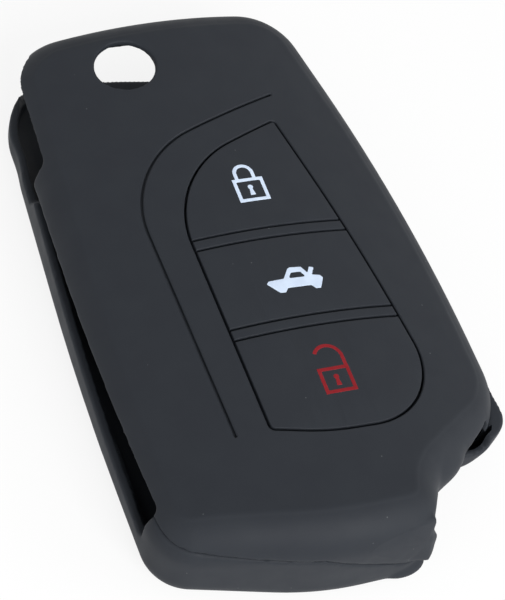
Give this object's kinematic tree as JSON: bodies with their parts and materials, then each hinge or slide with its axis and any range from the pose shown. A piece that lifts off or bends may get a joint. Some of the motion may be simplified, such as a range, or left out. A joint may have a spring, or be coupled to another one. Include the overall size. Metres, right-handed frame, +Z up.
{
  "type": "key fob cover",
  "caption": "Soft silicone sleeve for a folding car key, with pressable lock, trunk and unlock pads, a release hole and open mouths for the blade and key ring.",
  "frame": {"origin": "under the middle of the plan, on the surface that the cover's back lies on", "axes": "+Z up through the button face, +Y along the length towards the end with the release hole, +X away from the blade side"},
  "size_m": [0.0482, 0.0804, 0.0152],
  "materials": {
    "black_silicone": "matte, slightly dusty silicone rubber",
    "white_ink": "matte pale blue-white ink",
    "red_ink": "matte dark red ink"
  },
  "bodies": {
    "sleeve": {"front_shell": "black_silicone", "rear_shell": "black_silicone", "upper_spacer_bar": "black_silicone", "lower_spacer_bar": "black_silicone", "lock_button_web": "black_silicone", "trunk_button_web": "black_silicone", "unlock_button_web": "black_silicone"},
    "lock_pad": {"lock_button": "black_silicone", "lock_icon_outline": "white_ink", "lock_icon_keyhole": "white_ink"},
    "trunk_pad": {"trunk_button": "black_silicone", "trunk_icon": "white_ink"},
    "unlock_pad": {"unlock_button": "black_silicone", "unlock_icon_outline": "red_ink", "unlock_icon_keyhole": "red_ink"}
  },
  "joints": [
    {"name": "lock_press", "type": "slide", "parent": "sleeve", "child": "lock_pad", "axis": [0, 0, -1], "range_m": [0, 0.0007], "stiffness_N_per_m": 3000, "deforming": ["lock_button_web"]},
    {"name": "trunk_press", "type": "slide", "parent": "sleeve", "child": "trunk_pad", "axis": [0, 0, -1], "range_m": [0, 0.0007], "stiffness_N_per_m": 3000, "deforming": ["trunk_button_web"]},
    {"name": "unlock_press", "type": "slide", "parent": "sleeve", "child": "unlock_pad", "axis": [0, 0, -1], "range_m": [0, 0.0007], "stiffness_N_per_m": 3000, "deforming": ["unlock_button_web"]}
  ]
}
